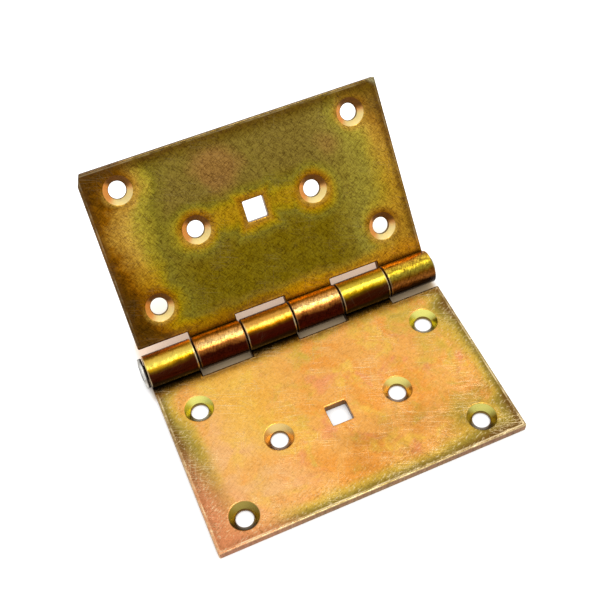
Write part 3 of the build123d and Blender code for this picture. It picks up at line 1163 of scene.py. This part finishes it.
def build_floor():
    """Flat square just under the hinge. The camera and mirrors see it near white, with the
    hinge's shadow on it. Under the notches and the tilted leaf it has the tints of the light
    that the hinge throws down."""
    stage = bpy.context.scene.hinge_stage
    lines = np.linspace(-stage.distance, stage.distance, 9)
    x, y = np.meshgrid(lines, lines, indexing="ij")
    points = np.stack([x, y, np.full_like(x, -0.1 * MM)], axis=-1).reshape(-1, 3)
    f = Finish(bpy.data.materials.new("Pale floor"))
    plain = f.add("ShaderNodeBsdfDiffuse", [("Color", stage.floor)])
    open_air = f.add("ShaderNodeAmbientOcclusion", [("Distance", 0.02)], output="AO")
    open_air.node.samples = 8

    # Painted light and shade on the floor, in strips along the barrel: warm bounce light under
    # the tilted leaf and behind the barrel, and painted shade in the lower leaf's notches. Places
    # in millimetres from the pin's axis and from the middle
    across, along, _ = f.millimetres(f.add("ShaderNodeTexCoord", output="Object"))
    along = f.plus(along, -PIN_CENTRE.y / MM)
    aside = f.math("ABSOLUTE", across)
    beside = f.times(f.fall(along, 14, 18), f.fall(aside, 49, 52))
    around = f.times(f.window(along, 21, 24, 29, 33), f.fall(aside, 46, 50, 0.4))
    behind = f.times(beside, f.step(along, 3, 6))
    front = f.times(beside, f.window(along, -9, -6, -1, 2))
    thrown = (1.0, 1.0, 1.0, 1.0)
    for share, colour in ((around, stage.warmth), (behind, stage.bounce), (front, stage.shade)):
        thrown = f.mix(share, thrown, colour)
    tinted = f.add("ShaderNodeBsdfDiffuse", [
        ("Color", f.mix(1.0, thrown, stage.floor, "MULTIPLY"))])
    path = f.add("ShaderNodeLightPath").node
    camera, mirror = path.outputs["Is Camera Ray"], path.outputs["Is Glossy Ray"]
    in_mirrors = 0.35
    strength = f.step(camera, 0.0, 1.0, in_mirrors * stage.glow, stage.glow)
    glow = f.add("ShaderNodeEmission", [
        ("Color", thrown), ("Strength", f.times(open_air, strength))])
    lit = f.add("ShaderNodeAddShader", [(0, tinted), (1, glow)])
    seen = f.math("MAXIMUM", camera, mirror)
    both = f.add("ShaderNodeMixShader", [(0, seen), (1, plain), (2, lit)])
    material = f.end("ShaderNodeOutputMaterial", both)
    make_piece("floor", points, grid_quads(9, 9), {}, material)


def light_studio():
    """World: white where the camera sees it. Elsewhere a soft sky, dim at the horizon and
    bright overhead: dim + (bright - dim) smoothstep(direction . towards)."""
    stage = bpy.context.scene.hinge_stage
    f = Finish(bpy.data.worlds.new("Studio"))
    direction = f.add("ShaderNodeTexCoord", output="Generated")
    facing = f.dot(direction, Vector((0.06, -0.14, 1.0)).normalized())
    strength = f.step(facing, 0.05, 0.72, stage.sky_dim, stage.sky_bright)
    sky, white = (
        f.add("ShaderNodeBackground", [("Color", (1.0, 1.0, 1.0, 1.0)), ("Strength", power)])
        for power in (strength, 1.0))
    seen = f.add("ShaderNodeLightPath").node.outputs["Is Camera Ray"]
    both = f.add("ShaderNodeMixShader", [(0, seen), (1, sky), (2, white)])
    bpy.context.scene.world = f.end("ShaderNodeOutputWorld", both)
    add_lamp("High lamp", place=(0.22, -0.08, 1.15), target=(0.0, 0.037, 0.0),
             sides=(0.7, 0.22), power=stage.lamp)


def add_lamp(name, place, target, sides, power):
    """A soft rectangular lamp at a place, turned towards a target."""
    data = bpy.data.lights.new(name, "AREA")
    data.shape = "RECTANGLE"
    data.size, data.size_y = sides
    data.energy = power
    lamp = bpy.data.objects.new(name, data)
    bpy.context.scene.collection.objects.link(lamp)
    lamp.location = place
    lamp.rotation_euler = (Vector(target) - Vector(place)).to_track_quat("-Z", "Y").to_euler()


def place_camera():
    """The photograph's viewpoint, seen from in front, from the left and above."""
    data = bpy.data.cameras.new("Camera")
    data.lens = bpy.context.scene.hinge_stage.lens
    data.sensor_width = 36.0
    data.clip_start = 0.01
    camera = bpy.data.objects.new("Camera", data)
    bpy.context.scene.collection.objects.link(camera)
    right = Vector((0.91756, -0.39510, -0.04451))
    up = Vector((0.34701, 0.74113, 0.57473))
    back = right.cross(up)
    turn = Matrix((right, up, back)).transposed().to_4x4()
    turn.translation = Vector((-56.51, -137.04, 269.82)) * MM
    camera.matrix_world = turn
    bpy.context.scene.camera = camera
    bpy.context.scene.view_settings.view_transform = "Standard"


class HINGE_PT_sidebar(bpy.types.Panel):
    """Lists the hinge's sizes, colours and builders."""

    bl_idname = "HINGE_PT_sidebar"
    bl_label = "Construction hinge"
    bl_space_type = "VIEW_3D"
    bl_region_type = "UI"
    bl_category = "Hinge"

    def draw(self, context):
        layout = self.layout
        for group in GROUPS:
            settings = getattr(context.scene, group)
            box = layout.box()
            for key in settings.bl_rna.properties.keys():
                if key not in ("rna_type", "name"):
                    box.prop(settings, key)
        for operator in OPERATORS:
            layout.operator(operator.bl_idname)


OPERATORS = (HINGE_OT_lower_leaf, HINGE_OT_upper_leaf, HINGE_OT_pin, HINGE_OT_stage)
GROUPS = {
    "hinge_leaf": LeafSizes,
    "hinge_pin": PinSizes,
    "hinge_colours": FinishColours,
    "hinge_stage": StageSettings,
}


def register():
    for kind in (*GROUPS.values(), *OPERATORS, HINGE_PT_sidebar):
        bpy.utils.register_class(kind)
    for key, kind in GROUPS.items():
        setattr(bpy.types.Scene, key, PointerProperty(type=kind))


def unregister():
    for key in GROUPS:
        delattr(bpy.types.Scene, key)
    for kind in (HINGE_PT_sidebar, *OPERATORS, *GROUPS.values()):
        bpy.utils.unregister_class(kind)


def main():
    """Builds the stage and the pieces."""
    register()
    bpy.ops.hinge.stage()
    bpy.ops.hinge.lower_leaf()
    bpy.ops.hinge.upper_leaf()
    bpy.ops.hinge.pin()


if __name__ == "__main__":
    main()
